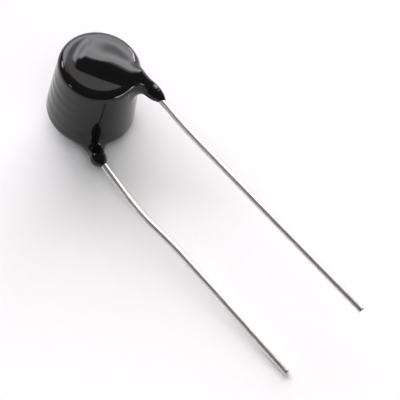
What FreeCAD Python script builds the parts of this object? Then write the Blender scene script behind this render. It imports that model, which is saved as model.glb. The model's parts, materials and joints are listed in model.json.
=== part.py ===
import FreeCAD, Part
import math
import os
import Sketcher

# A disc varistor: a thick zinc-oxide disc with a silver electrode on each face, a tinned wire soldered across each
# electrode, and one dip of epoxy over all of it. It is modelled in the frame of its disc, with Z along the disc's axis
# and X along the leads, and then laid down the way it comes to rest on a table. The lower lead, its solder and its
# share of the coating are built as the upper ones are, and turned over about X.

# Driving sizes in millimetres, degrees and counts. Reaches are measured along the leads from the disc's axis, and
# overhangs from the edge of the ceramic. Offsets are measured sideways from the axis, and drifts add to an offset.
SIZES = {
    "ceramic_diameter": 9.5,
    "ceramic_thickness": 10.1,
    "ceramic_chamfer": 0.2,
    "electrode_thickness": 0.05,
    "electrode_margin": 0.35,
    "solder_film": 0.05,
    "solder_width": 2.0,
    "solder_overrun": 0.4,
    "solder_reach": 2.6,
    "face_coat": 0.6,
    "upper_side_coat": 0.5,
    "lower_side_coat": 1.13,
    "upper_rim_radius": 1.15,
    "lower_rim_radius": 1.55,
    "mound_width": 5.2,
    "mound_coat": 0.8,
    "mound_overrun": 1.1,
    "narrowing_before_rim": 1.6,
    "narrowing_after_rim": 1.4,
    "swell_steps": 14,
    "drop_diameter": 2.1,
    "drop_overhang": 2.45,
    "wire_diameter": 0.8,
    "wire_overlap": 1.9,
    "rim_clearance": 0.15,
    "knee_radius": 1.2,
    "kink_radius": 9.0,
    "lead_level": 4.13,
    "upper_heading": 26.5,
    "upper_knee_overhang": 1.07,
    "upper_offset": 3.5,
    "upper_kink_reach": 9.2,
    "upper_kink_drift": 0.0,
    "upper_bow_reach": 12.6,
    "upper_bow_drift": -0.27,
    "upper_straight_reach": 26.0,
    "upper_straight_drift": -0.2,
    "upper_tip_reach": 43.7,
    "upper_tip_drift": 0.06,
    "lower_heading": 24.0,
    "lower_knee_overhang": 1.95,
    "lower_offset": 4.4,
    "lower_bow_reach": 16.2,
    "lower_bow_drift": 0.92,
    "lower_straight_reach": 21.8,
    "lower_straight_drift": 0.5,
    "lower_tip_reach": 42.95,
    "lower_tip_drift": 0.74,
}

# The turns of each free lead, from the knee to the tip
TURNS = {"upper": ["kink", "bow", "straight", "tip"], "lower": ["bow", "straight", "tip"]}

# Grams in a cubic millimetre, which place the centre of mass
DENSITY = {
    "ceramic_disc": 5.6e-3,
    "electrode": 10.5e-3,
    "solder": 8.4e-3,
    "lead": 8.9e-3,
    "coating": 1.9e-3,
}

Vector = FreeCAD.Vector
Rotation = FreeCAD.Rotation
Placement = FreeCAD.Placement
X_AXIS = Vector(1, 0, 0)
Z_AXIS = Vector(0, 0, 1)
TURNED_OVER = {"upper": Rotation(), "lower": Rotation(X_AXIS, 180)}

doc = FreeCAD.newDocument("disc_varistor")
sheet = doc.addObject("Spreadsheet::Sheet", "sizes")
for row, (name, value) in enumerate(SIZES.items(), start=1):
    sheet.set(f"A{row}", name)
    sheet.set(f"B{row}", str(value))
    sheet.setAlias(f"B{row}", name)
doc.recompute()

# Lengths that several pieces share, as expressions over the sheet
CERAMIC_RADIUS = "(sizes.ceramic_diameter / 2)"
CERAMIC_FACE = "(sizes.ceramic_thickness / 2)"
ELECTRODE_FACE = f"({CERAMIC_FACE} + sizes.electrode_thickness)"
COAT_FACE = f"({ELECTRODE_FACE} + sizes.face_coat)"
UPPER_RADIUS = f"({CERAMIC_RADIUS} + sizes.upper_side_coat)"
LOWER_RADIUS = f"({CERAMIC_RADIUS} + sizes.lower_side_coat)"
UPPER_SIDE_END = f"({COAT_FACE} - sizes.upper_rim_radius)"
LOWER_SIDE_END = f"(sizes.lower_rim_radius - {COAT_FACE})"
WIRE_LIFT = "(sizes.solder_film + sizes.wire_diameter / 2)"
MOUND_HEIGHT = "(sizes.solder_film + sizes.wire_diameter + sizes.mound_coat)"


def value_of(expression):
    return float(sheet.evalExpression(expression))


def size(alias):
    return float(sheet.get(alias))


def origin_plane(body, role):
    return next(feature for feature in body.Origin.OriginFeatures if feature.Role == role)


def add_body(label):
    return doc.addObject("PartDesign::Body", label)


def add_sketch(body, name, role):
    sketch = body.newObject("Sketcher::SketchObject", name)
    sketch.AttachmentSupport = [(origin_plane(body, role), "")]
    sketch.MapMode = "FlatFace"
    return sketch


def constrain(sketch, name, constraint, expression):
    """Adds a named dimension to the sketch and ties it to the sheet."""
    index = sketch.addConstraint(constraint)
    sketch.renameConstraint(index, name)
    sketch.setExpression(f"Constraints.{name}", expression)


def flat_disc(label, radius, bottom, thickness):
    """A round plate about the disc's axis, padded up from its bottom."""
    body = add_body(label)
    sketch = add_sketch(body, f"{label}_outline", "XY_Plane")
    sketch.setExpression("AttachmentOffset.Base.z", bottom)
    circle = sketch.addGeometry(Part.Circle(Vector(), Z_AXIS, value_of(radius)))
    sketch.addConstraint(Sketcher.Constraint("Coincident", circle, 3, -1, 1))
    constrain(sketch, "radius", Sketcher.Constraint("Radius", circle, value_of(radius)), radius)
    pad = body.newObject("PartDesign::Pad", f"{label}_plate")
    pad.Profile = sketch
    pad.setExpression("Length", thickness)
    doc.recompute()
    return body


def ceramic_disc():
    """The pressed and fired disc, with the small chamfer of its press on both edges."""
    body = flat_disc("ceramic", CERAMIC_RADIUS, f"-{CERAMIC_FACE}", "sizes.ceramic_thickness")
    plate = body.Tip
    rims = [f"Edge{i}" for i, edge in enumerate(plate.Shape.Edges, start=1) if edge.isClosed()]
    chamfer = body.newObject("PartDesign::Chamfer", "pressed_edges")
    chamfer.Base = (plate, rims)
    chamfer.setExpression("Size", "sizes.ceramic_chamfer")
    doc.recompute()
    return body


def electrode(side):
    bottom = CERAMIC_FACE if side == "upper" else f"-{ELECTRODE_FACE}"
    radius = f"({CERAMIC_RADIUS} - sizes.electrode_margin)"
    return flat_disc(f"{side}_silver", radius, bottom, "sizes.electrode_thickness")


def crossing(side):
    """How a wire crosses its face: its direction, the point where it passes nearest to the disc's axis, and how far
    past that point it reaches the edge of the ceramic."""
    heading = math.radians(size(f"{side}_heading"))
    along = Vector(math.cos(heading), math.sin(heading), 0)
    knee = Vector(value_of(CERAMIC_RADIUS) + size(f"{side}_knee_overhang"), size(f"{side}_offset"), 0)
    nearest = knee - along * knee.dot(along)
    return along, nearest, math.sqrt(value_of(CERAMIC_RADIUS) ** 2 - nearest.Length ** 2)


def wire_points(side):
    """The corners of a wire's route, from its soldered end, and the radius of the bend at each inner corner."""
    along, nearest, to_edge = crossing(side)
    face_level = Z_AXIS * value_of(f"{ELECTRODE_FACE} + {WIRE_LIFT}")
    lead_level = Z_AXIS * size("lead_level")
    knee_reach = value_of(CERAMIC_RADIUS) + size(f"{side}_knee_overhang")
    offset = size(f"{side}_offset")
    points = [
        nearest - along * size("wire_overlap") + face_level,
        nearest + along * (to_edge + size("rim_clearance")) + face_level,
        Vector(knee_reach, offset, 0) + lead_level,
    ]
    radii = [size("knee_radius"), size("knee_radius")]
    for turn in TURNS[side]:
        reach = size(f"{side}_{turn}_reach")
        drift = size(f"{side}_{turn}_drift")
        points.append(Vector(reach, offset + drift, 0) + lead_level)
        radii.append(size("kink_radius"))
    return [TURNED_OVER[side].multVec(point) for point in points], radii[:-1]


def bent_route(points, radii):
    """Straight runs through the points, joined by tangent arcs."""
    edges = []
    last = points[0]
    for before, corner, after, radius in zip(points, points[1:], points[2:], radii):
        back = (before - corner).normalize()
        ahead = (after - corner).normalize()
        half = back.getAngle(ahead) / 2
        start = corner + back * (radius / math.tan(half))
        end = corner + ahead * (radius / math.tan(half))
        middle = corner + (back + ahead).normalize() * (radius / math.sin(half) - radius)
        edges.append(Part.makeLine(last, start))
        edges.append(Part.Arc(start, middle, end).toShape())
        last = end
    edges.append(Part.makeLine(last, points[-1]))
    return Part.Wire(edges)


def wire_route(side):
    route = doc.addObject("Part::Feature", f"{side}_route")
    points, radii = wire_points(side)
    route.Shape = bent_route(points, radii)
    return route


def lead(side, route):
    """The round wire, swept along its route."""
    section = doc.addObject("Part::Circle", f"{side}_wire_section")
    section.setExpression("Radius", "sizes.wire_diameter / 2")
    first = route.Shape.Edges[0]
    start = first.firstVertex().Point
    section.Placement = Placement(start, Rotation(Z_AXIS, first.tangentAt(first.FirstParameter)))
    wire = doc.addObject("Part::Sweep", f"{side}_wire")
    wire.Sections = [section]
    wire.Spine = (route, [f"Edge{i}" for i in range(1, len(route.Shape.Edges) + 1)])
    wire.Solid = True
    doc.recompute()
    return wire


def solder(side, wire):
    """A half-round bead of solder on the electrode, which covers the wire's end and most of its run."""
    bead = doc.addObject("Part::Cylinder", f"{side}_solder_bead")
    bead.setExpression("Radius", "sizes.solder_width / 2")
    bead.setExpression("Height", "sizes.wire_overlap + sizes.solder_overrun + sizes.solder_reach")
    bead.Angle = 180
    along, nearest, _ = crossing(side)
    start = nearest - along * (size("wire_overlap") + size("solder_overrun")) + Z_AXIS * value_of(ELECTRODE_FACE)
    turn = TURNED_OVER[side]
    bead.Placement = Placement(turn.multVec(start), turn.multiply(Rotation(Z_AXIS.cross(along), Z_AXIS, along, "ZXY")))
    joint = doc.addObject("Part::Cut", f"{side}_solder_joint")
    joint.Base = bead
    joint.Tool = wire
    doc.recompute()
    return joint


def dipped_body():
    """The coating round the disc without its wires: a lathed form with round rims and a side that widens downwards."""
    body = add_body("dipped_disc")
    sketch = add_sketch(body, "dipped_profile", "XZ_Plane")
    upper_face, upper_end = value_of(COAT_FACE), value_of(UPPER_SIDE_END)
    lower_face, lower_end = -value_of(COAT_FACE), value_of(LOWER_SIDE_END)
    upper_x, lower_x = value_of(UPPER_RADIUS), value_of(LOWER_RADIUS)
    upper_rim, lower_rim = size("upper_rim_radius"), size("lower_rim_radius")

    axis = sketch.addGeometry(Part.LineSegment(Vector(0, lower_face), Vector(0, upper_face)))
    top = sketch.addGeometry(Part.LineSegment(Vector(0, upper_face), Vector(upper_x - upper_rim, upper_face)))
    upper_circle = Part.Circle(Vector(upper_x - upper_rim, upper_end), Z_AXIS, upper_rim)
    upper_arc = sketch.addGeometry(Part.ArcOfCircle(upper_circle, 0, math.pi / 2))
    lower_circle = Part.Circle(Vector(lower_x - lower_rim, lower_end), Z_AXIS, lower_rim)
    lower_arc = sketch.addGeometry(Part.ArcOfCircle(lower_circle, -math.pi / 2, 0))
    bottom = sketch.addGeometry(Part.LineSegment(Vector(lower_x - lower_rim, lower_face), Vector(0, lower_face)))
    wall = sketch.addGeometry(Part.LineSegment(Vector(upper_x, upper_end), Vector(lower_x, lower_end)))

    sketch.addConstraint(Sketcher.Constraint("PointOnObject", axis, 1, -2))
    sketch.addConstraint(Sketcher.Constraint("Vertical", axis))
    sketch.addConstraint(Sketcher.Constraint("Coincident", axis, 2, top, 1))
    sketch.addConstraint(Sketcher.Constraint("Horizontal", top))
    sketch.addConstraint(Sketcher.Constraint("Tangent", top, 2, upper_arc, 2))
    sketch.addConstraint(Sketcher.Constraint("Tangent", bottom, 1, lower_arc, 1))
    sketch.addConstraint(Sketcher.Constraint("Horizontal", bottom))
    sketch.addConstraint(Sketcher.Constraint("Coincident", bottom, 2, axis, 1))
    sketch.addConstraint(Sketcher.Constraint("Coincident", wall, 1, upper_arc, 1))
    sketch.addConstraint(Sketcher.Constraint("Coincident", wall, 2, lower_arc, 2))
    at_height = {"upper_face": (axis, 2, COAT_FACE), "lower_face": (axis, 1, f"-{COAT_FACE}")}
    for name, (line, end, height) in at_height.items():
        constraint = Sketcher.Constraint("DistanceY", -1, 1, line, end, value_of(height))
        constrain(sketch, name, constraint, height)
    for name, arc, end, radius, reach in (
        ("upper_rim", upper_arc, 1, "sizes.upper_rim_radius", UPPER_RADIUS),
        ("lower_rim", lower_arc, 2, "sizes.lower_rim_radius", LOWER_RADIUS),
    ):
        constrain(sketch, f"{name}_radius", Sketcher.Constraint("Radius", arc, value_of(radius)), radius)
        constraint = Sketcher.Constraint("DistanceX", -1, 1, arc, end, value_of(reach))
        constrain(sketch, f"{name}_reach", constraint, reach)
        sketch.addConstraint(Sketcher.Constraint("Horizontal", arc, 3, arc, end))

    lathed = body.newObject("PartDesign::Revolution", "dipped_form")
    lathed.Profile = sketch
    lathed.ReferenceAxis = (sketch, ["V_Axis"])
    lathed.Angle = 360
    doc.recompute()
    return body


def smooth_share(value, start, end):
    """Rises from 0 at the start to 1 at the end, level at both."""
    share = min(max((value - start) / (end - start), 0), 1)
    return share * share * (3 - 2 * share)


def route_point(route, distance):
    """The point at a distance along a route, carried on straight before its start."""
    edges = route.Shape.Edges
    first = edges[0]
    if distance < 0:
        return first.firstVertex().Point + first.tangentAt(first.FirstParameter) * distance
    for edge in edges:
        if distance <= edge.Length:
            break
        distance -= edge.Length
    return edge.valueAt(edge.getParameterByLength(min(distance, edge.Length)))


def distance_to_drop(route):
    """How far along a wire the middle of its drop stands, on the straight run past the knee."""
    past_knee = route.Shape.Edges[4]
    to_knee = sum(edge.Length for edge in route.Shape.Edges[:4])
    run = past_knee.tangentAt(past_knee.FirstParameter)
    reach = value_of(CERAMIC_RADIUS) + size("drop_overhang")
    return to_knee + (reach - past_knee.firstVertex().Point.x) / run.x


def swell_placement(side, route, distance, sink):
    """A place on a wire's route, sunk below it, with X across the wire, Y away from the disc and Z along the wire.

    The direction is taken over a length of wire, so that neighbouring sections fan out evenly round its bends."""
    window = size("drop_diameter") / 2
    ahead = route_point(route, distance + window) - route_point(route, distance - window)
    across = TURNED_OVER[side].multVec(Z_AXIS).cross(ahead)
    outwards = ahead.cross(across).normalize()
    return Placement(route_point(route, distance) - outwards * sink, Rotation(across, outwards, ahead, "ZXY"))


def swell(side, route):
    """The epoxy over one wire: a mound across the face, which narrows over the rim to a drop round the knee.

    Its sections crowd towards both ends, where it closes as an ellipse does: below the face, and on the wire."""
    steps = int(size("swell_steps"))
    overrun = size("mound_overrun")
    drop_radius = size("drop_diameter") / 2
    drop_at = distance_to_drop(route)
    rim = size("wire_overlap") + crossing(side)[2]
    sections = []
    for step in range(1, steps):
        distance = (drop_at + drop_radius + overrun) * (1 - math.cos(math.pi * step / steps)) / 2 - overrun
        past_end = max(-distance / overrun, (distance - drop_at) / drop_radius, 0)
        closing = math.sqrt(1 - past_end * past_end)
        drop = smooth_share(distance, rim - size("narrowing_before_rim"), rim + size("narrowing_after_rim"))
        section = doc.addObject("Part::Ellipse", f"{side}_swell_{step}")
        width = f"(sizes.mound_width * {1 - drop} + sizes.drop_diameter * {drop}) * {closing}"
        height = f"(2 * {MOUND_HEIGHT} * {1 - drop} + sizes.drop_diameter * {drop}) * {closing}"
        section.setExpression("MajorRadius", f"{width} / 2")
        section.setExpression("MinorRadius", f"{height} / 2")
        section.Placement = swell_placement(side, route, distance, value_of(WIRE_LIFT) * (1 - drop))
        sections.append(section)
    loft = doc.addObject("Part::Loft", f"{side}_swell")
    loft.Sections = sections
    loft.Solid = True
    return loft


def coating(routes, held):
    """The epoxy skin: its outer form with every piece that it holds taken out of it."""
    outer = doc.addObject("Part::MultiFuse", "dipped_form_and_swells")
    outer.Shapes = [dipped_body()] + [swell(side, route) for side, route in routes.items()]
    core = doc.addObject("Part::MultiFuse", "held_pieces")
    core.Shapes = held
    skin = doc.addObject("Part::Cut", "epoxy_skin")
    skin.Base = outer
    skin.Tool = core
    doc.recompute()
    faces = skin.Shape.BoundBox
    if min(faces.ZMax, -faces.ZMin) <= value_of(COAT_FACE):
        raise RuntimeError("the coating has lost a mound")
    return skin


def cloud(piece, tolerance=0.02):
    return piece.Shape.tessellate(tolerance)[0]


def centre_of_mass(pieces):
    total, moment = 0.0, Vector()
    for node, piece in pieces.items():
        density = next(grams for kind, grams in DENSITY.items() if node.endswith(kind))
        for solid in piece.Shape.Solids:
            total += solid.Volume * density
            moment += solid.CenterOfMass * (solid.Volume * density)
    return moment / total


def fall_about(points, pivot, axis):
    """The smallest angle by which the points turn about an axis on the floor before one more of them lands."""
    ahead = axis.cross(Z_AXIS)
    best = (math.pi, None)
    for point in points:
        arm = point - pivot
        out = arm.dot(ahead)
        if out > 1e-6:
            best = min(best, (math.atan2(max(arm.z, 0.0), out), tuple(point)))
    return best


def resting_rotation(points, centre):
    """Lets the part topple from the way it is modelled until its weight lies within the three points it stands on."""
    turned = Rotation()
    contacts = [min(points, key=lambda point: point.z)]
    for _ in range(24):
        feet = [turned.multVec(point) for point in contacts]
        middle = turned.multVec(centre)
        if len(feet) == 3:
            outside = [
                i for i in range(3)
                if is_beyond(middle, feet[(i + 1) % 3], feet[(i + 2) % 3], feet[i])
            ]
            if not outside:
                return turned
            del contacts[outside[0]], feet[outside[0]]
        pivot = feet[0]
        if len(feet) == 1:
            axis = Z_AXIS.cross(middle - pivot).normalize()
        else:
            axis = (feet[1] - feet[0]).normalize()
            if axis.cross(middle - pivot).z > 0:
                axis = axis * -1
        standing = {tuple(foot) for foot in feet}
        free = [turned.multVec(point) for point in points]
        free = [point for point in free if tuple(point) not in standing]
        angle, landed = fall_about(free, pivot, axis)
        contacts.append(turned.inverted().multVec(Vector(*landed)))
        turned = Rotation(axis, math.degrees(angle)).multiply(turned)
    return turned


def is_beyond(point, start, end, inner):
    """Whether a point lies across the line from start to end, seen from the inner point, on the floor."""
    edge = end - start
    return edge.cross(point - start).z * edge.cross(inner - start).z < 0


def resting_placement(pieces):
    """The part's place on the table: leads along X, and the floor under the middle of its outline."""
    outside = [pieces["coating"], pieces["upper_lead"], pieces["lower_lead"]]
    points = [point for piece in outside for point in cloud(piece)]
    turned = resting_rotation(points, centre_of_mass(pieces))
    along = turned.multVec(X_AXIS)
    turned = Rotation(Z_AXIS, -math.degrees(math.atan2(along.y, along.x))).multiply(turned)
    landed = [turned.multVec(point) for point in points]
    low = Vector(*(min(point[i] for point in landed) for i in range(3)))
    high = Vector(*(max(point[i] for point in landed) for i in range(3)))
    return Placement(Vector(-(low.x + high.x) / 2, -(low.y + high.y) / 2, -low.z), turned)


def finished(pieces):
    """One labelled sub-part for each piece, at its place on the table."""
    rest = resting_placement(pieces)
    parts = []
    for node, piece in pieces.items():
        part = doc.addObject("Part::Refine", f"{node}_part")
        part.Label = node
        part.Source = piece
        part.Placement = rest
        parts.append(part)
    doc.recompute()
    return parts


def check(parts):
    for item in doc.Objects:
        if {"Invalid", "Error"} & set(item.State):
            raise RuntimeError(f"{item.Label} failed: {item.State}")
    for part in parts:
        if part.Shape.isNull() or not part.Shape.isValid():
            raise RuntimeError(f"{part.Label} has no valid shape")


routes = {side: wire_route(side) for side in ("upper", "lower")}
pieces = {"ceramic_disc": ceramic_disc()}
for side, route in routes.items():
    pieces[f"{side}_electrode"] = electrode(side)
    pieces[f"{side}_lead"] = lead(side, route)
    pieces[f"{side}_solder"] = solder(side, pieces[f"{side}_lead"])
pieces["coating"] = coating(routes, list(pieces.values()))

parts = finished(pieces)
check(parts)
os.makedirs("parts", exist_ok=True)
for part in parts:
    part.Shape.exportStep(f"parts/{part.Label}.step")
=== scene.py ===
import json
import math

import bpy
import numpy as np
from mathutils import Euler, Matrix, Vector


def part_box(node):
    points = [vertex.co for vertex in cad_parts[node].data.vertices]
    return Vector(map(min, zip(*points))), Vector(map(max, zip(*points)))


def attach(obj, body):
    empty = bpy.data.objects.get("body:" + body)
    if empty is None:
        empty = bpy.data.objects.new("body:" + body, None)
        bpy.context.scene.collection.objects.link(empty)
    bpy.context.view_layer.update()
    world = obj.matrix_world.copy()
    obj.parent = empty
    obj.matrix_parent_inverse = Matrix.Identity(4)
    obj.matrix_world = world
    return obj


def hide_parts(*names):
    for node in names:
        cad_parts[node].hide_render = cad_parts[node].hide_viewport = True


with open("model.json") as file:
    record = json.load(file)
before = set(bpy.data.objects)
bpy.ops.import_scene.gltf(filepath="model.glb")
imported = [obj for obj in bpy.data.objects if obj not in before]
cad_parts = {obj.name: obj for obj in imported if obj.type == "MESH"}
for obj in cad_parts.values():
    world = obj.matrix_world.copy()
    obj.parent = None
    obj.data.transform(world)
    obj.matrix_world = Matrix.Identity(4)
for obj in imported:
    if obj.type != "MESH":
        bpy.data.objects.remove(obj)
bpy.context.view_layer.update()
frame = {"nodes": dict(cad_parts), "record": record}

# The looks of a disc varistor: its glossy dipped coat, its two tinned wires, and the pieces that the coat
# hides. Shapes are worked out in millimetres in the frame of the disc, with Z along its axis and X along the
# leads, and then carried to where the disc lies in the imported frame. The lower wire and its share of the coat
# are worked out as the upper ones are, and turned over about X.
MM = 0.001

# Form of the body. A rim is a round with a radius, and its middle is a distance from the axis and a height.
FACE_HEIGHT = 5.7
FACE_DOME = 0.05
UPPER_RIM = 1.15
UPPER_RIM_AT = (4.1, 4.55)
LOWER_RIM = 1.55
LOWER_RIM_AT = (4.33, -4.15)
SIDE_SLOPE = math.radians(4.15)

# Shallow rings round the side
RING_HEIGHTS = (2.65, 1.1, -0.65, -2.7)
RING_RISE = 0.03
RING_FADE = 10
RING_HALF_WIDTH = 0.38
RING_AZIMUTH = math.radians(-133)

# Form of the mound over each wire. Its heights stand out from the body, and its lengths run along the ridge
# from the axis towards the leads. Left and right are seen from outside, looking along the ridge that way.
MOUND_HEIGHT = 1.05
MOUND_START_HEIGHT = 0.6
MOUND_RISES_FROM = -2.2
MOUND_RISES_TO = 1.5
MOUND_END = -3.5
MOUND_END_LENGTH = 1.6
NARROWS_FROM = 0.0
NARROWS_TO = 5.5
NECK_HEIGHT = 0.45
NECK_RIGHT_HALF_WIDTH = 1.9
NECK_LEFT_HALF_WIDTH = 2.9

# Levels above the middle of the disc between which the mound fades out down the side
MOUND_FADES_FROM = 4.2
MOUND_FADES_TO = 1.8

# The steps in which a drop narrows down to its wire, and the fillet between necks that fan out
DROP_END_STEPS = 5
FAN_FILLET = 0.5

# The wires. Each is soldered flat on its electrode, bends down at a corner over the rim, and is level again
# from its knee on. The soldered length and the corner are measured along the heading, from where the wire
# passes nearest to the axis.
WIRE_RADIUS = 0.4
WIRE_LEVEL_ON_FACE = 5.55
LEAD_LEVEL = 4.13
SOLDERED_LENGTH = 1.9
RIM_CORNER = 4.9

# What differs between the sides, before the lower one is turned over. The wire crosses its face along the
# heading, and the knee and the run are places along the lead. The coat follows the wire in a neck, which
# sinks below the corner and spreads to each shift given, and in a drop, which leans away from the wire. The
# meniscus is the width of the fillet between these two and the body.
SIDES = {
    "upper": {
        "turned": 1,
        "heading": math.radians(26.5),
        "knee": (5.82, 3.5),
        "ridge_heading": math.radians(30),
        "ridge_across": -0.27,
        "right_half_width": 2.15,
        "left_half_width": 4.4,
        "neck_radius": 0.9,
        "neck_sinks": 0.35,
        "neck_spread": (),
        "meniscus": 1.3,
        "drop_radius": 1.0,
        "drop_from": 6.2,
        "drop_end": 8.05,
        "drop_lean": (0.15, 0.1),
        "run": (
            (9.03, 3.49), (10.95, 3.31), (12.84, 3.24), (16.56, 3.23),
            (25.64, 3.3), (34.6, 3.43), (43.7, 3.56),
        ),
    },
    "lower": {
        "turned": -1,
        "heading": math.radians(24),
        "knee": (6.7, 4.4),
        "ridge_heading": math.radians(24),
        "ridge_across": 1.3,
        "right_half_width": 3.0,
        "left_half_width": 3.0,
        "neck_radius": 0.45,
        "neck_sinks": 0.0,
        "neck_spread": (-0.55, 1.35),
        "meniscus": 0.85,
        "drop_radius": 0.88,
        "drop_from": 6.6,
        "drop_end": 7.8,
        "drop_lean": (0.0, 0.0),
        "run": (
            (9.13, 4.62), (10.99, 4.81), (12.82, 5.02), (14.64, 5.15), (16.43, 5.25),
            (18.21, 5.18), (19.96, 5.03), (22.5, 4.91), (30.71, 4.95), (42.93, 5.14),
        ),
    },
}

# Fineness of the meshes
SKIN_LOW = np.array((-6.6, -6.9, -7.3))
SKIN_HIGH = np.array((8.9, 6.5, 7.3))
SKIN_CELL = 0.125
CELL_CORNERS = 8
SKIN_PULLS = 4
SLOPE_STEP = 0.01
LEAST_SLOPE_SQUARED = 0.05
WIRE_STEP = 0.2
WIRE_SIDES = 28
WIRE_SMOOTHING = 0.8
SMOOTHING_REACH = 3
WIRE_UV_MAP = "wire"
WIRE_UV_LENGTH = 2.5

# Unevenness of the wires
WIRE_SEED = {"upper": 11, "lower": 23}
WIRE_UNEVEN = 0.008
WANDER_STEP = 2.5
WANDER_STEPS = 24

# The burr round a wire's cut end, and the slanted cut, with one ring of points inside its edge
BURR = 0.05
BURR_LENGTH = 0.25
CUT_EDGE = 0.05
CUT_SLANT = 0.03
CUT_SLANT_TURN = 0.6
CUT_RINGS = 2
CUT_INNER_RING = 0.55
CUT_INNER_RISE = 0.3
CUT_TIP_RISE = 0.5

# Finishes. Grains and depths are in millimetres. A span is the part of a noise that a change spreads over.
EPOXY_COLOR = (0.006, 0.006, 0.0065, 1)
EPOXY_IOR = 1.4
EPOXY_ROUGHNESS = (0.05, 0.1)
EPOXY_HAZE = 2.2
EPOXY_HAZE_DETAIL = 3.0
EPOXY_HAZE_SPAN = (0.3, 0.7)
EPOXY_WAVE = 3.5
EPOXY_WAVE_DETAIL = 1.0
EPOXY_WAVE_DEPTH = 0.02
EPOXY_PEEL = 0.35
EPOXY_PEEL_DETAIL = 2.0
EPOXY_PEEL_DEPTH = 0.0006

TIN_COLOR = (0.86, 0.85, 0.83, 1)
TIN_ROUGHNESS = (0.33, 0.47)
TARNISH_COLOR = (0.74, 0.71, 0.68, 1)
TARNISH_STRETCH = (9, 5, 1)
TARNISH_DETAIL = 4.0
TARNISH_SPAN = (0.35, 0.7)
TARNISH_DEPTH = 0.004
DRAWN_LINES_STRETCH = (3, 90, 1)
DRAWN_LINES_DETAIL = 3.0
DRAWN_LINES_DEPTH = 0.002

SPOT_DETAIL = 4.0
SPOT_ROUGHNESS = 0.6
SPOT_COLOR_SPAN = (0.35, 0.7)
SPOT_SHEEN_SPAN = (0.3, 0.7)
INNER_FINISHES = {
    "zinc_oxide": {
        "color": (0.07, 0.073, 0.076, 1), "spot_color": (0.045, 0.047, 0.05, 1),
        "grain": 0.15, "roughness": (0.75, 0.9), "depth": 0.006, "metallic": 0.0,
    },
    "fired_silver": {
        "color": (0.58, 0.57, 0.53, 1), "spot_color": (0.45, 0.44, 0.41, 1),
        "grain": 0.2, "roughness": (0.45, 0.6), "depth": 0.004, "metallic": 1.0,
    },
    "solder": {
        "color": (0.46, 0.46, 0.45, 1), "spot_color": (0.34, 0.34, 0.33, 1),
        "grain": 0.5, "roughness": (0.25, 0.42), "depth": 0.01, "metallic": 1.0,
    },
}

# The floor, with its size in metres and its grain in noise cells per metre
FLOOR_SIZE = 4
FLOOR_COLOR = (0.91, 0.91, 0.91, 1)
FLOOR_GRAIN_COLOR = (0.89, 0.89, 0.89, 1)
FLOOR_GRAIN_SCALE = 900.0
FLOOR_GRAIN_DETAIL = 3.0
FLOOR_ROUGHNESS = 0.95

# The camera, in millimetres and degrees in the disc's frame
CAMERA_AT = (47.443, -57.635, 107.088)
CAMERA_TURN = (28.3806, -12.4646, 46.9974)
CAMERA_LENS = 90
CAMERA_CLIP_START = 5

# Soft panels around the part. Directions are degrees of azimuth and elevation in the disc's frame. Each edge
# is how far the panel reaches at full strength that way, and over how many degrees it then fades. A ray sees
# a panel only where the cosine of the angle between them is above the least.
ROOM_LEVEL = 0.09
LEAST_COSINE = 0.05
WHITE = (1.0, 0.98, 1.06)
SOFT_WHITE = (1.0, 0.97, 0.98)
WARM = (1.7, 1.15, 0.5)
PANELS = (
    {"azimuth": 145, "elevation": 36, "strength": 4.2, "color": WHITE,
     "left": (30, 8), "right": (31, 9), "bottom": (3, 20), "top": (12.5, 7)},
    {"azimuth": 145, "elevation": 30, "strength": 1.5, "color": SOFT_WHITE,
     "left": (28, 9), "right": (31, 9), "bottom": (32, 6), "top": (27.5, 3)},
    {"azimuth": 145, "elevation": 62, "strength": 1.2, "color": WARM,
     "left": (28, 9), "right": (28, 9), "bottom": (1.5, 1.5), "top": (1.5, 2)},
    {"azimuth": 165, "elevation": 18, "strength": 1.4, "color": WHITE,
     "left": (12, 8), "right": (8, 6), "bottom": (6, 6), "top": (8, 8)},
    {"azimuth": 17, "elevation": 8, "strength": 13, "color": WHITE,
     "left": (14, 5), "right": (16, 5), "bottom": (8, 2), "top": (4, 3)},
    {"azimuth": 107, "elevation": 17, "strength": 11, "color": WHITE,
     "left": (3, 2), "right": (3, 2), "bottom": (5, 2), "top": (4, 2)},
    {"azimuth": -162, "elevation": 26, "strength": 12, "color": WHITE,
     "left": (5, 2), "right": (5, 2), "bottom": (5, 4), "top": (3, 3)},
    {"azimuth": -108, "elevation": 6, "strength": 5, "color": WHITE,
     "left": (3, 2), "right": (3, 2), "bottom": (3, 2), "top": (3, 2)},
)

# A fill that lifts the floor and the shadows, and that the gloss doesn't show. Its distance is in metres.
FILL_FROM = (-50, 70)
FILL_DISTANCE = 0.6
FILL_SIZE = 0.5
FILL_POWER = 1.1


def smooth_share(value, start, end):
    """Rises from 0 at the start to 1 at the end, level at both."""
    share = np.clip((value - start) / (end - start), 0, 1)
    return share * share * (3 - 2 * share)


def smooth_union(first, second, width):
    """The nearer of two distances, with the crease between them filled over a width."""
    overlap = np.maximum(width - np.abs(first - second), 0) / width
    return np.minimum(first, second) - overlap * overlap * width / 4


def ridge_frame(side, points):
    """Coordinates of points along the ridge of a mound, across it, and up from the middle of the disc."""
    shape = SIDES[side]
    turned = shape["turned"]
    x, y, z = points[:, 0], points[:, 1] * turned, points[:, 2] * turned
    cosine, sine = math.cos(shape["ridge_heading"]), math.sin(shape["ridge_heading"])
    return x * cosine + y * sine, y * cosine - x * sine - shape["ridge_across"], z


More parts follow.
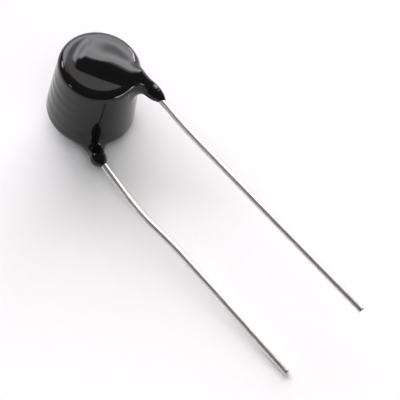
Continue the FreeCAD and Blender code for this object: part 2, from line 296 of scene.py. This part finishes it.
def body_distance(points):
    """Distance to the lathed body: two flat faces, two round rims, and a side that widens downwards."""
    out, height = np.hypot(points[:, 0], points[:, 1]), points[:, 2]
    side = (
        (out - UPPER_RIM_AT[0]) * math.cos(SIDE_SLOPE)
        + (height - UPPER_RIM_AT[1]) * math.sin(SIDE_SLOPE)
        - UPPER_RIM
    )
    dome = FACE_DOME * (1 - np.minimum(out / UPPER_RIM_AT[0], 1) ** 2) ** 2
    distance = np.maximum(np.abs(height) - FACE_HEIGHT - dome, side)
    rims = ((UPPER_RIM_AT, UPPER_RIM, 1), (LOWER_RIM_AT, LOWER_RIM, -1))
    for (middle_out, middle_height), radius, up in rims:
        from_middle = out - middle_out
        above_middle = (height - middle_height) * up
        slope = SIDE_SLOPE * up
        on_rim = (from_middle > 0) & (above_middle * math.cos(slope) > from_middle * math.sin(slope))
        distance = np.where(on_rim, np.hypot(from_middle, above_middle) - radius, distance)
    return distance


def ring_rise(points):
    """How far the shallow rings stand out round the side, most on the side where the coat ran down."""
    azimuth = np.arctan2(points[:, 1], points[:, 0])
    share = np.cos((azimuth - RING_AZIMUTH) / 2) ** RING_FADE
    rise = sum(np.exp(-((points[:, 2] - height) / RING_HALF_WIDTH) ** 2) for height in RING_HEIGHTS)
    return RING_RISE * share * rise


def mound_rise(side, points):
    """How far the mound over a wire stands out from the body."""
    shape = SIDES[side]
    along, across, height = ridge_frame(side, points)
    narrowing = smooth_share(along, NARROWS_FROM, NARROWS_TO)
    widest = np.where(across < 0, shape["right_half_width"], shape["left_half_width"])
    narrowest = np.where(across < 0, NECK_RIGHT_HALF_WIDTH, NECK_LEFT_HALF_WIDTH)
    half_width = widest + (narrowest - widest) * narrowing
    rise = smooth_share(along, MOUND_RISES_FROM, MOUND_RISES_TO)
    peak = (
        MOUND_START_HEIGHT
        + (MOUND_HEIGHT - MOUND_START_HEIGHT) * rise
        + (NECK_HEIGHT - MOUND_HEIGHT) * narrowing
    )
    past_end = np.maximum(MOUND_END + MOUND_END_LENGTH - along, 0) / MOUND_END_LENGTH
    share = np.minimum((across / half_width) ** 2 + past_end ** 2, 1)
    return peak * (1 - share) ** 2 * smooth_share(height, MOUND_FADES_TO, MOUND_FADES_FROM)


def wire_corners(side):
    """A wire's soldered end, its corner over the rim, and its knee, before it is turned over."""
    shape = SIDES[side]
    cosine, sine = math.cos(shape["heading"]), math.sin(shape["heading"])
    knee_x, knee_y = shape["knee"]
    across = knee_y * cosine - knee_x * sine
    on_face = [
        (along * cosine - across * sine, along * sine + across * cosine, WIRE_LEVEL_ON_FACE)
        for along in (-SOLDERED_LENGTH, RIM_CORNER)
    ]
    return on_face + [(knee_x, knee_y, LEAD_LEVEL)]


def turn_over(side, point):
    """Carries a point to its own side of the disc."""
    turned = SIDES[side]["turned"]
    return np.array((point[0], point[1] * turned, point[2] * turned))


def drop_spheres(side):
    """Middles and radii of the balls that a wire's neck and drop run through, to the drop's end."""
    shape = SIDES[side]
    _, corner, knee = wire_corners(side)
    first_run = shape["run"][0]
    lean_y, lean_z = shape["drop_lean"]
    neck = (corner[0], corner[1], corner[2] - shape["neck_sinks"])
    spheres = [(neck, shape["neck_radius"]), (knee, shape["drop_radius"])]
    for step in range(DROP_END_STEPS + 1):
        share = step / DROP_END_STEPS
        reach = shape["drop_from"] + (shape["drop_end"] - shape["drop_from"]) * share
        sideways = knee[1] + (first_run[1] - knee[1]) * (reach - knee[0]) / (first_run[0] - knee[0])
        radius = WIRE_RADIUS + (shape["drop_radius"] - WIRE_RADIUS) * math.cos(share * math.pi / 2)
        spheres.append(((reach, sideways + lean_y * share, LEAD_LEVEL + lean_z * share), radius))
    return [(turn_over(side, middle), radius) for middle, radius in spheres]


def chain_distance(spheres, points):
    """Distance to a row of balls with straight, tapering links between them."""
    distance = np.full(len(points), np.inf)
    for (start, start_radius), (end, end_radius) in zip(spheres, spheres[1:]):
        run = end - start
        share = np.clip((points - start) @ run / (run @ run), 0, 1)
        radius = start_radius + (end_radius - start_radius) * share
        gap = np.linalg.norm(points - start - share[:, None] * run, axis=1) - radius
        distance = np.minimum(distance, gap)
    return distance


def drop_distance(side, points):
    """Distance to the neck and drop over a wire, with the neck spread where the coat fans out to the body."""
    spheres = drop_spheres(side)
    distance = chain_distance(spheres, points)
    (corner, corner_radius), knee = spheres[:2]
    run = knee[0] - corner
    across = np.array((-run[1], run[0], 0)) / math.hypot(run[0], run[1])
    for shift in SIDES[side]["neck_spread"]:
        fan = chain_distance([(corner + across * shift, corner_radius), knee], points)
        distance = smooth_union(distance, fan, FAN_FILLET)
    return distance


def coating_distance(points):
    """Distance to the coat's outer skin, less than 0 inside it."""
    distance = body_distance(points) - ring_rise(points)
    for side in SIDES:
        distance = distance - mound_rise(side, points)
    for side in SIDES:
        distance = smooth_union(distance, drop_distance(side, points), SIDES[side]["meniscus"])
    return distance


def skin_slope(points):
    """The gradient of the distance to the coat's skin."""
    slope = np.empty_like(points)
    for axis in range(3):
        offset = np.zeros(3)
        offset[axis] = SLOPE_STEP
        change = coating_distance(points + offset) - coating_distance(points - offset)
        slope[:, axis] = change / (2 * SLOPE_STEP)
    return slope


def disc_matrix():
    """Carries the disc's frame, in metres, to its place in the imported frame."""
    middles = {}
    for side in SIDES:
        low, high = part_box(f"{side}_electrode")
        middles[side] = (Vector(low) + Vector(high)) / 2
    axis = (middles["upper"] - middles["lower"]).normalized()
    along = Vector((0, 1, 0)).cross(axis).normalized()
    turn = Matrix((along, axis.cross(along), axis)).transposed().to_4x4()
    return Matrix.Translation((middles["upper"] + middles["lower"]) / 2) @ turn


DISC = disc_matrix()


def placed(points):
    """Points in millimetres in the disc's frame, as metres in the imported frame."""
    matrix = np.array(DISC)
    return points * MM @ matrix[:3, :3].T + matrix[:3, 3]


def add_mesh(name, points, faces, finish, normals=None):
    """A smooth piece from points in the disc's frame, with a normal for each point where they are given."""
    mesh = bpy.data.meshes.new(name)
    mesh.from_pydata(placed(points).tolist(), [], faces)
    mesh.polygons.foreach_set("use_smooth", [True] * len(faces))
    if normals is not None:
        turned = normals @ np.array(DISC)[:3, :3].T
        mesh.normals_split_custom_set_from_vertices(turned.tolist())
    mesh.materials.append(finish)
    mesh.update()
    piece = bpy.data.objects.new(name, mesh)
    bpy.context.scene.collection.objects.link(piece)
    return piece


def skin_cells():
    """One point in each grid cell that the skin runs through, and the quads that join them."""
    counts = np.ceil((SKIN_HIGH - SKIN_LOW) / SKIN_CELL).astype(int)
    axes = [SKIN_LOW[i] + SKIN_CELL * np.arange(counts[i] + 1) for i in range(3)]
    grid = np.stack(np.meshgrid(*axes, indexing="ij"), axis=-1)
    inside = (coating_distance(grid.reshape(-1, 3)) < 0).reshape(grid.shape[:3])

    corners = sum(
        inside[dx:dx + counts[0], dy:dy + counts[1], dz:dz + counts[2]].astype(int)
        for dx in (0, 1) for dy in (0, 1) for dz in (0, 1)
    )
    crossed = (corners > 0) & (corners < CELL_CORNERS)
    number = np.full(crossed.shape, -1)
    number[crossed] = np.arange(crossed.sum())
    points = SKIN_LOW + SKIN_CELL * (np.argwhere(crossed) + 0.5)

    quads = []
    for axis in range(3):
        first = np.moveaxis(inside, axis, 0)
        cells = np.moveaxis(number, axis, 0)
        starts, ends = first[:-1, 1:-1, 1:-1], first[1:, 1:-1, 1:-1]
        around = np.stack(
            (cells[:, :-1, :-1], cells[:, 1:, :-1], cells[:, 1:, 1:], cells[:, :-1, 1:]), axis=-1,
        )
        outward = around[starts & ~ends]
        inward = around[~starts & ends][:, ::-1]
        found = np.concatenate((outward, inward))
        # With Y moved to the front the grid is its own mirror image, so its quads turn the other way.
        quads.append(found if axis != 1 else found[:, ::-1])
    return points, np.concatenate(quads)


def coating_piece(finish):
    """The epoxy coat, meshed on a grid and then pulled onto its true skin."""
    points, quads = skin_cells()
    for _ in range(SKIN_PULLS):
        slope = skin_slope(points)
        pull = coating_distance(points) / np.maximum((slope * slope).sum(axis=1), LEAST_SLOPE_SQUARED)
        points = points - slope * np.clip(pull, -SKIN_CELL, SKIN_CELL)[:, None]
    slope = skin_slope(points)
    normals = slope / np.linalg.norm(slope, axis=1)[:, None]
    return add_mesh("dipped_coat", points, quads.tolist(), finish, normals)


def wire_route(side):
    """Points along the middle of a wire, from its soldered end to its cut end, with its bends rounded off."""
    corners = np.array(wire_corners(side) + [(x, y, LEAD_LEVEL) for x, y in SIDES[side]["run"]])
    reach = np.concatenate(([0], np.cumsum(np.linalg.norm(np.diff(corners, axis=0), axis=1))))
    at = np.linspace(0, reach[-1], int(reach[-1] / WIRE_STEP))
    line = np.stack([np.interp(at, reach, corners[:, axis]) for axis in range(3)], axis=1)

    margin = int(round(SMOOTHING_REACH * WIRE_SMOOTHING / WIRE_STEP))
    before = 2 * line[0] - line[margin:0:-1]
    after = 2 * line[-1] - line[-2:-margin - 2:-1]
    padded = np.concatenate((before, line, after))
    weights = np.exp(-0.5 * (np.arange(-margin, margin + 1) * WIRE_STEP / WIRE_SMOOTHING) ** 2)
    weights /= weights.sum()
    line = np.stack([np.convolve(padded[:, axis], weights, "valid") for axis in range(3)], axis=1)
    return line * (1, SIDES[side]["turned"], SIDES[side]["turned"])


def wire_radii(side, to_end):
    """A wire's slightly uneven radius, with its burr, at each distance that is left to the cut end."""
    rng = np.random.default_rng(WIRE_SEED[side])
    wander = np.interp(to_end, np.arange(WANDER_STEPS) * WANDER_STEP, rng.normal(0, 1, WANDER_STEPS))
    return WIRE_RADIUS * (1 + WIRE_UNEVEN * wander + BURR * np.exp(-to_end / BURR_LENGTH))


def wire_points(side):
    """Rings of points along a wire and over its cut, and then the middles of its cut and soldered ends."""
    line = wire_route(side)
    ahead = np.gradient(line, axis=0)
    ahead /= np.linalg.norm(ahead, axis=1)[:, None]
    radius = wire_radii(side, np.arange(len(line))[::-1] * WIRE_STEP)

    turn = np.linspace(0, 2 * math.pi, WIRE_SIDES, endpoint=False)
    outwards = np.cross(ahead, (0, 1, 0))
    outwards /= np.linalg.norm(outwards, axis=1)[:, None]
    sideways = np.cross(ahead, outwards)
    cosine, sine = np.cos(turn)[None, :, None], np.sin(turn)[None, :, None]
    ring = cosine * outwards[:, None] + sine * sideways[:, None]
    rows = line[:, None] + ring * radius[:, None, None]

    rise = CUT_EDGE + CUT_SLANT * np.cos(turn + CUT_SLANT_TURN)[:, None]
    edge = ring[-1] * (radius[-1] - CUT_EDGE) + ahead[-1] * rise
    inner = line[-1] + edge * CUT_INNER_RING + ahead[-1] * CUT_EDGE * CUT_INNER_RISE
    tip = line[-1] + ahead[-1] * CUT_EDGE * CUT_TIP_RISE
    return np.concatenate((rows.reshape(-1, 3), line[-1] + edge, inner, [tip], [line[0]]))


def wire_faces(rows):
    """Quads between the rows of a wire's points, and a fan of triangles that closes each end."""
    last = (rows - 1) * WIRE_SIDES
    tip, start = rows * WIRE_SIDES, rows * WIRE_SIDES + 1
    faces = []
    for low in range(0, last, WIRE_SIDES):
        high = low + WIRE_SIDES
        for i in range(WIRE_SIDES):
            j = (i + 1) % WIRE_SIDES
            faces.append((low + i, low + j, high + j, high + i))
    for i in range(WIRE_SIDES):
        j = (i + 1) % WIRE_SIDES
        faces.append((last + i, last + j, tip))
        faces.append((j, i, start))
    return faces


def wire_piece(side, finish):
    """A round drawn wire with a burr where the cutter closed on it."""
    points = wire_points(side)
    rows = len(points) // WIRE_SIDES
    cut_row = rows - CUT_RINGS
    piece = add_mesh(f"{side}_wire", points, wire_faces(rows), finish)
    mesh = piece.data

    corner_points = np.empty(len(mesh.loops), dtype=int)
    mesh.loops.foreach_get("vertex_index", corner_points)
    row, place = np.divmod(np.minimum(corner_points, rows * WIRE_SIDES - 1), WIRE_SIDES)
    uv = np.stack((row * WIRE_STEP / WIRE_UV_LENGTH, place / WIRE_SIDES), axis=1)
    mesh.uv_layers.new(name=WIRE_UV_MAP).data.foreach_set("uv", uv.ravel())
    for edge in mesh.edges:
        first, second = edge.vertices
        edge.use_edge_sharp = first // WIRE_SIDES == second // WIRE_SIDES == cut_row
    return piece


class Nodes:
    """A material's or a world's node tree, with short calls for the nodes that several of them use."""

    # The mix node's sockets for colours go by number, since its sockets share their names.
    MIX_INPUTS = (0, 6, 7)
    MIX_OUTPUT = 2

    def __init__(self, tree):
        self.tree = tree

    def add(self, kind, settings=None, **values):
        """A node with its settings made and its sockets filled, with _ for the spaces in a socket's name."""
        node = self.tree.nodes.new(kind)
        for name, value in (settings or {}).items():
            setattr(node, name, value)
        for name, value in values.items():
            self.put(node, name.replace("_", " "), value)
        return node

    def put(self, node, socket, value):
        """Links an output to a socket, or sets the socket's own value."""
        if isinstance(value, bpy.types.NodeSocket):
            self.tree.links.new(value, node.inputs[socket])
        else:
            node.inputs[socket].default_value = value

    def fill(self, node, *values):
        """Puts values to a node's first sockets, in their order."""
        for socket, value in enumerate(values):
            self.put(node, socket, value)

    def math(self, operation, first, second):
        node = self.add("ShaderNodeMath", {"operation": operation})
        self.fill(node, first, second)
        return node.outputs[0]

    def vector_math(self, operation, first, second, output="Vector"):
        node = self.add("ShaderNodeVectorMath", {"operation": operation})
        self.fill(node, first, second)
        return node.outputs[output]

    def scaled(self, vector, share):
        node = self.add("ShaderNodeVectorMath", {"operation": "SCALE"}, Scale=share)
        self.fill(node, vector)
        return node.outputs["Vector"]

    def spread(self, value, low, high, to_low, to_high, smooth=False):
        """Maps a range of a value onto another, held at both ends."""
        kind = "SMOOTHSTEP" if smooth else "LINEAR"
        node = self.add("ShaderNodeMapRange", {"interpolation_type": kind})
        self.fill(node, value, low, high, to_low, to_high)
        return node.outputs[0]

    def noise(self, vector, scale, detail, roughness=0.5):
        node = self.add("ShaderNodeTexNoise", Vector=vector, Scale=scale, Detail=detail, Roughness=roughness)
        return node.outputs["Fac"]

    def stretched(self, vector, scale):
        return self.add("ShaderNodeMapping", Vector=vector, Scale=scale).outputs[0]

    def mixed(self, share, first, second):
        node = self.add("ShaderNodeMix", {"data_type": "RGBA"})
        for socket, value in zip(self.MIX_INPUTS, (share, first, second)):
            self.put(node, socket, value)
        return node.outputs[self.MIX_OUTPUT]

    def bumps(self, heights):
        """A normal bent by each height in turn: pairs of a height from 0 to 1 and its depth in metres."""
        normal = None
        for height, depth in heights:
            node = self.add("ShaderNodeBump", Height=height, Distance=depth)
            if normal is not None:
                self.put(node, "Normal", normal)
            normal = node.outputs[0]
        return normal


def material(name, **values):
    """A Principled material with its constant values set, and its nodes for the rest."""
    made = bpy.data.materials.new(name)
    made.use_nodes = True
    shader = made.node_tree.nodes["Principled BSDF"]
    nodes = Nodes(made.node_tree)
    for socket, value in values.items():
        nodes.put(shader, socket.replace("_", " "), value)
    return made, nodes, shader


def object_place(nodes):
    """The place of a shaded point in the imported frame, in metres."""
    return nodes.add("ShaderNodeTexCoord").outputs["Object"]


def epoxy_material():
    """Black dipped epoxy: a wet gloss over slow waves and a very fine orange peel."""
    made, nodes, shader = material("epoxy", Base_Color=EPOXY_COLOR, IOR=EPOXY_IOR)
    place = object_place(nodes)
    waves = nodes.noise(place, 1 / (EPOXY_WAVE * MM), EPOXY_WAVE_DETAIL)
    peel = nodes.noise(place, 1 / (EPOXY_PEEL * MM), EPOXY_PEEL_DETAIL)
    haze = nodes.noise(place, 1 / (EPOXY_HAZE * MM), EPOXY_HAZE_DETAIL)
    nodes.put(shader, "Normal", nodes.bumps(((waves, EPOXY_WAVE_DEPTH * MM), (peel, EPOXY_PEEL_DEPTH * MM))))
    nodes.put(shader, "Roughness", nodes.spread(haze, *EPOXY_HAZE_SPAN, *EPOXY_ROUGHNESS))
    return made


def tinned_material():
    """Bright tin on drawn copper wire, with fine lines along it, and dull patches of tarnish."""
    made, nodes, shader = material("tinned_wire", Metallic=1.0)
    uv = nodes.add("ShaderNodeUVMap", {"uv_map": WIRE_UV_MAP}).outputs[0]
    lines = nodes.noise(nodes.stretched(uv, DRAWN_LINES_STRETCH), 1.0, DRAWN_LINES_DETAIL)
    patches = nodes.noise(nodes.stretched(uv, TARNISH_STRETCH), 1.0, TARNISH_DETAIL)
    tarnished = nodes.spread(patches, *TARNISH_SPAN, 0, 1)
    nodes.put(shader, "Base Color", nodes.mixed(tarnished, TIN_COLOR, TARNISH_COLOR))
    nodes.put(shader, "Roughness", nodes.spread(patches, *TARNISH_SPAN, *TIN_ROUGHNESS))
    nodes.put(shader, "Normal", nodes.bumps(((lines, DRAWN_LINES_DEPTH * MM), (patches, TARNISH_DEPTH * MM))))
    return made


def grained_material(name, color, spot_color, grain, roughness, depth, metallic):
    """A matt fired or cast surface, with spots of a second colour and a grain of its own size."""
    made, nodes, shader = material(name, Metallic=metallic)
    spots = nodes.noise(object_place(nodes), 1 / (grain * MM), SPOT_DETAIL, SPOT_ROUGHNESS)
    spotted = nodes.spread(spots, *SPOT_COLOR_SPAN, 0, 1)
    nodes.put(shader, "Base Color", nodes.mixed(spotted, color, spot_color))
    nodes.put(shader, "Roughness", nodes.spread(spots, *SPOT_SHEEN_SPAN, *roughness))
    nodes.put(shader, "Normal", nodes.bumps(((spots, depth * MM),)))
    return made


def dress_inner_nodes():
    """Finishes for the pieces that the coat hides."""
    finishes = {slot: grained_material(slot, **finish) for slot, finish in INNER_FINISHES.items()}
    for row in frame["record"]["subparts"]:
        if row["material_slot"] in finishes:
            frame["nodes"][row["node"]].material_slots[0].material = finishes[row["material_slot"]]


def direction(azimuth, elevation):
    """A direction in the disc's frame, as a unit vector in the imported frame."""
    flat = math.cos(math.radians(elevation))
    azimuth = math.radians(azimuth)
    local = Vector((math.cos(azimuth) * flat, math.sin(azimuth) * flat, math.sin(math.radians(elevation))))
    return DISC.to_3x3() @ local


def panel_glow(nodes, towards, panel):
    """The light of one soft panel in the world around the part, by the direction in which a ray leaves."""
    ahead = direction(panel["azimuth"], panel["elevation"])
    across = direction(panel["azimuth"] + 90, 0)
    up = ahead.cross(across)
    parts = [nodes.vector_math("DOT_PRODUCT", towards, tuple(axis), "Value") for axis in (ahead, across, up)]
    share = nodes.math("GREATER_THAN", parts[0], LEAST_COSINE)
    for part, names in zip(parts[1:], (("left", "right"), ("bottom", "top"))):
        angle = nodes.math("ARCTAN2", part, parts[0])
        for sign, name in zip((-1, 1), names):
            reach, softness = panel[name]
            signed = nodes.math("MULTIPLY", angle, math.degrees(sign))
            fade = nodes.spread(signed, reach, reach + softness, 1, 0, smooth=True)
            share = nodes.math("MULTIPLY", share, fade)
    return nodes.scaled(tuple(channel * panel["strength"] for channel in panel["color"]), share)


def light_the_room():
    """A dim room with soft panels for the black gloss to show."""
    world = bpy.data.worlds.new("room")
    bpy.context.scene.world = world
    world.use_nodes = True
    nodes = Nodes(world.node_tree)
    towards = nodes.add("ShaderNodeTexCoord").outputs["Generated"]
    total = (ROOM_LEVEL, ROOM_LEVEL, ROOM_LEVEL)
    for panel in PANELS:
        total = nodes.vector_math("ADD", total, panel_glow(nodes, towards, panel))
    nodes.put(world.node_tree.nodes["Background"], "Color", total)


def hang_the_fill():
    """A large soft lamp above the part."""
    lamp = bpy.data.lights.new("fill", "AREA")
    lamp.shape = "DISK"
    lamp.size = FILL_SIZE
    lamp.energy = FILL_POWER
    fill = bpy.data.objects.new("fill", lamp)
    away = direction(*FILL_FROM)
    fill.location = away * FILL_DISTANCE
    fill.rotation_mode = "QUATERNION"
    fill.rotation_quaternion = away.to_track_quat("Z", "Y")
    fill.visible_glossy = False
    bpy.context.scene.collection.objects.link(fill)


def lay_the_floor():
    """A plain pale sheet under the part."""
    bpy.ops.mesh.primitive_plane_add(size=FLOOR_SIZE)
    floor = bpy.context.object
    floor.name = "floor"
    made, nodes, shader = material("pale_floor", Roughness=FLOOR_ROUGHNESS, Specular_IOR_Level=0.0)
    grain = nodes.noise(object_place(nodes), FLOOR_GRAIN_SCALE, FLOOR_GRAIN_DETAIL)
    nodes.put(shader, "Base Color", nodes.mixed(grain, FLOOR_COLOR, FLOOR_GRAIN_COLOR))
    floor.data.materials.append(made)


def place_the_camera():
    """The camera, held in the disc's frame."""
    data = bpy.data.cameras.new("camera")
    data.lens = CAMERA_LENS
    data.clip_start = CAMERA_CLIP_START * MM
    camera = bpy.data.objects.new("camera", data)
    bpy.context.scene.collection.objects.link(camera)
    turn = Euler([math.radians(angle) for angle in CAMERA_TURN]).to_matrix().to_4x4()
    camera.matrix_world = DISC @ Matrix.Translation(Vector(CAMERA_AT) * MM) @ turn
    bpy.context.scene.camera = camera


coat = coating_piece(epoxy_material())
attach(coat, "root")
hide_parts("coating")

tinned = tinned_material()
for side in SIDES:
    wire = wire_piece(side, tinned)
    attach(wire, "root")
    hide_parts(f"{side}_lead")

dress_inner_nodes()
light_the_room()
hang_the_fill()
lay_the_floor()
place_the_camera()
bpy.context.scene.view_settings.view_transform = "Standard"
